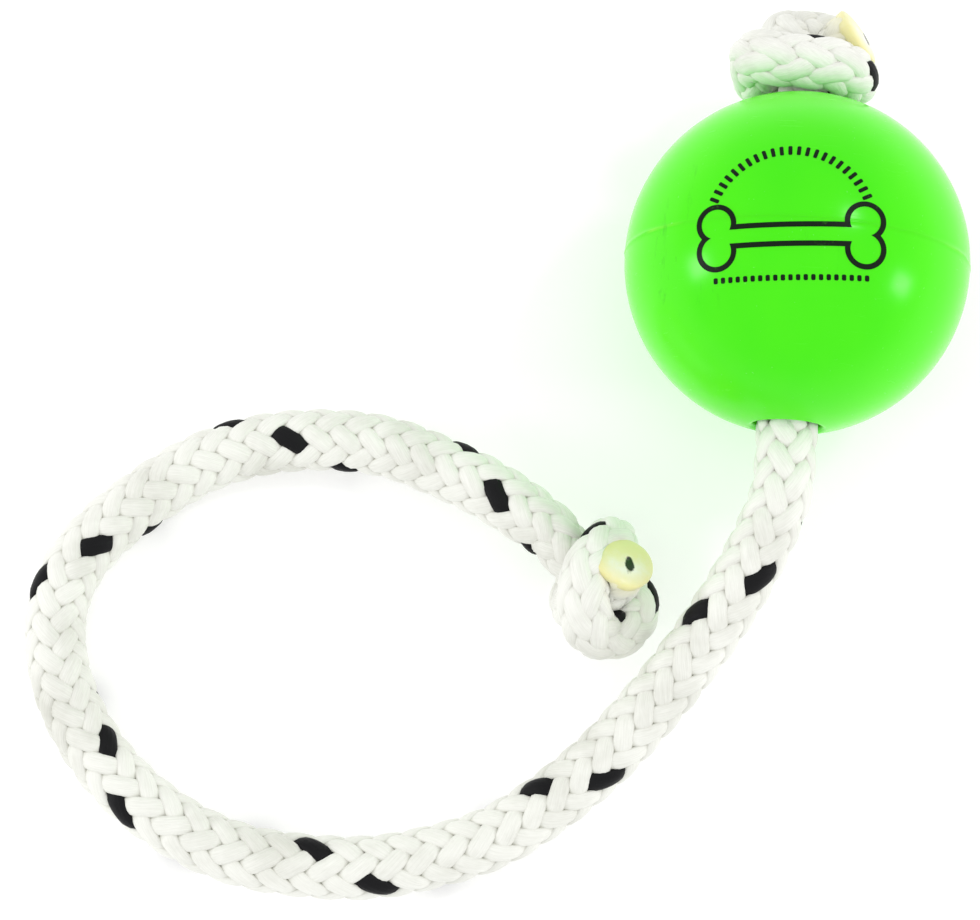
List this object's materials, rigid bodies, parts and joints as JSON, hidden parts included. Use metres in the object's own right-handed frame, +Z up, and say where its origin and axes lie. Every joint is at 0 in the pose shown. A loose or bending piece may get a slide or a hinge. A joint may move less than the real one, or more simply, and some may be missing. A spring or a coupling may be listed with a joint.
{
  "type": "magnet training ball on a rope",
  "caption": "Soft plastic training ball with pressed steel inside, threaded on a braided rope with a stop knot behind the ball and a grip knot at the free end.",
  "frame": {"origin": "the point where the ball touches the surface it lies on, straight below the ball's centre", "axes": "+Z up. +Y along the ball's bore from the rope's side to the stop knot. +X to the right of someone who looks along +Y."},
  "size_m": [0.1832, 0.1836, 0.068],
  "materials": {
    "ball_shell": "gloss",
    "steel": "satin",
    "foam": "matte",
    "sleeve": "satin",
    "rope": "satin",
    "melted_end": "satin"
  },
  "bodies": {
    "rope": {"rope_in_ball": "rope", "free_rope": "rope", "stop_knot": "rope", "stop_knot_melted_end": "melted_end", "grip_knot": "rope", "grip_knot_melted_end": "melted_end"},
    "sleeve": {"rope_sleeve": "sleeve"},
    "ball": {"shell_knot_side": "ball_shell", "shell_rope_side": "ball_shell", "steel_cup_knot_side": "steel", "steel_cup_rope_side": "steel", "foam_core": "foam"}
  },
  "joints": [
    {"name": "ball_slide", "type": "slide", "parent": "rope", "child": "sleeve", "axis": [0, -1, 0], "range_m": [0, 0.01]},
    {"name": "ball_turn", "type": "hinge", "parent": "sleeve", "child": "ball", "pos_m": [0, 0, 0.034], "axis": [0, 1, 0], "continuous": true}
  ]
}
